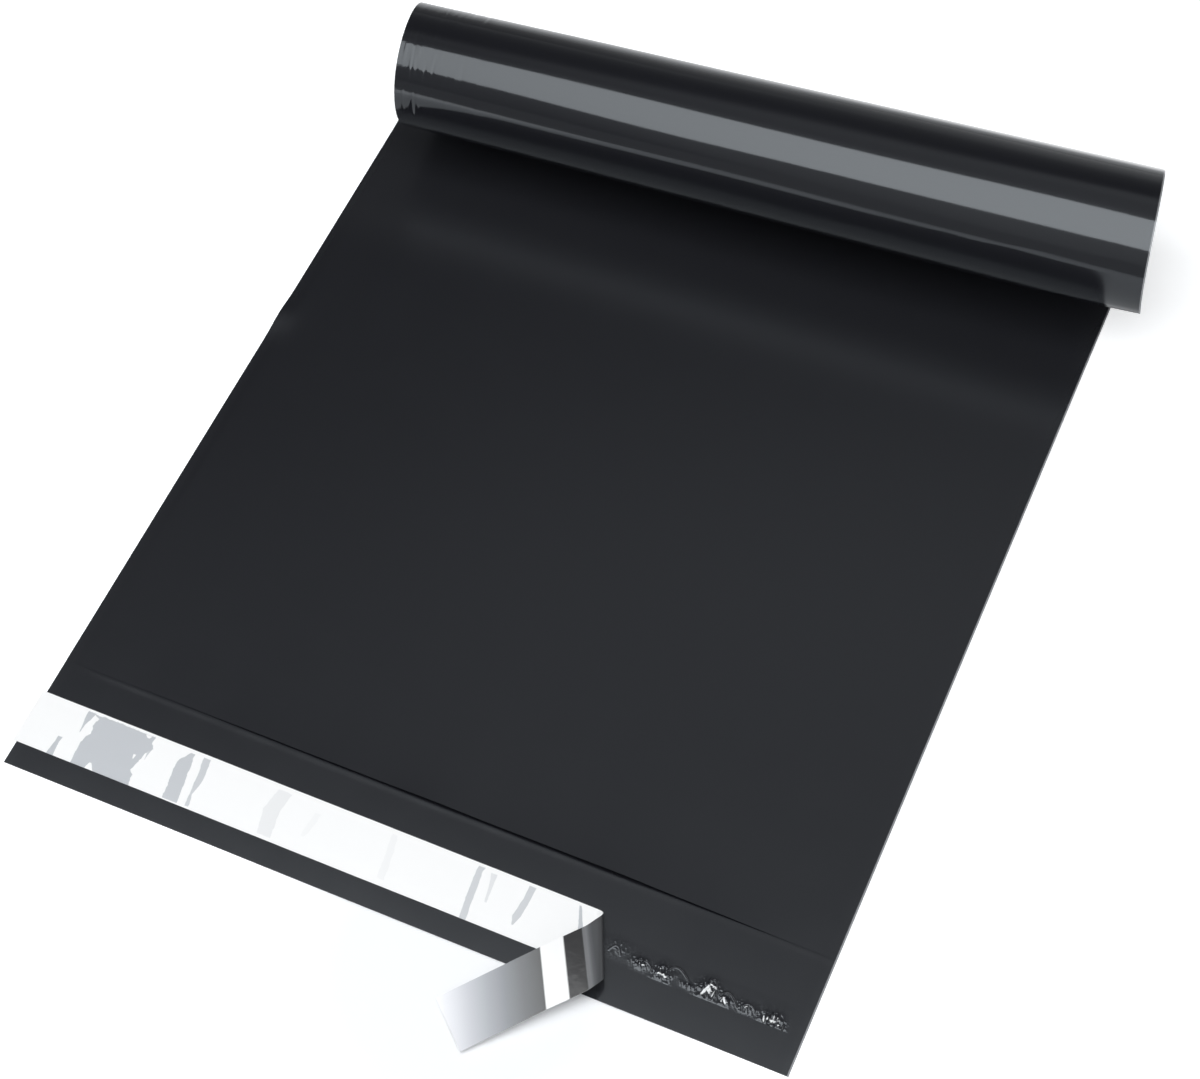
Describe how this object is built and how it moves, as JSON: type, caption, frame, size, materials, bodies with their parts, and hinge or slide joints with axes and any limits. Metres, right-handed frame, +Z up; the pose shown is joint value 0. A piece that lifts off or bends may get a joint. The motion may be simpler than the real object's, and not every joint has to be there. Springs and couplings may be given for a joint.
{
  "type": "poly mailer bag",
  "caption": "Opaque film mailing bag lying open: flap with a glue band and a half-peeled liner, flat pocket, closed end curled over",
  "frame": {"origin": "on the underside of the flat film, midway across the bag and midway between the flap's front edge and the curl", "axes": "+Z up from the surface the bag lies on, +Y from the flap towards the closed end, +X to the right seen from the flap"},
  "size_m": [0.321, 0.4264, 0.0708],
  "materials": {
    "black_film": "satin",
    "clear_glue": "gloss",
    "glossy_liner": "gloss"
  },
  "bodies": {
    "root": {"film_bag": "black_film", "adhesive_strip": "clear_glue", "release_liner": "glossy_liner"}
  },
  "joints": []
}
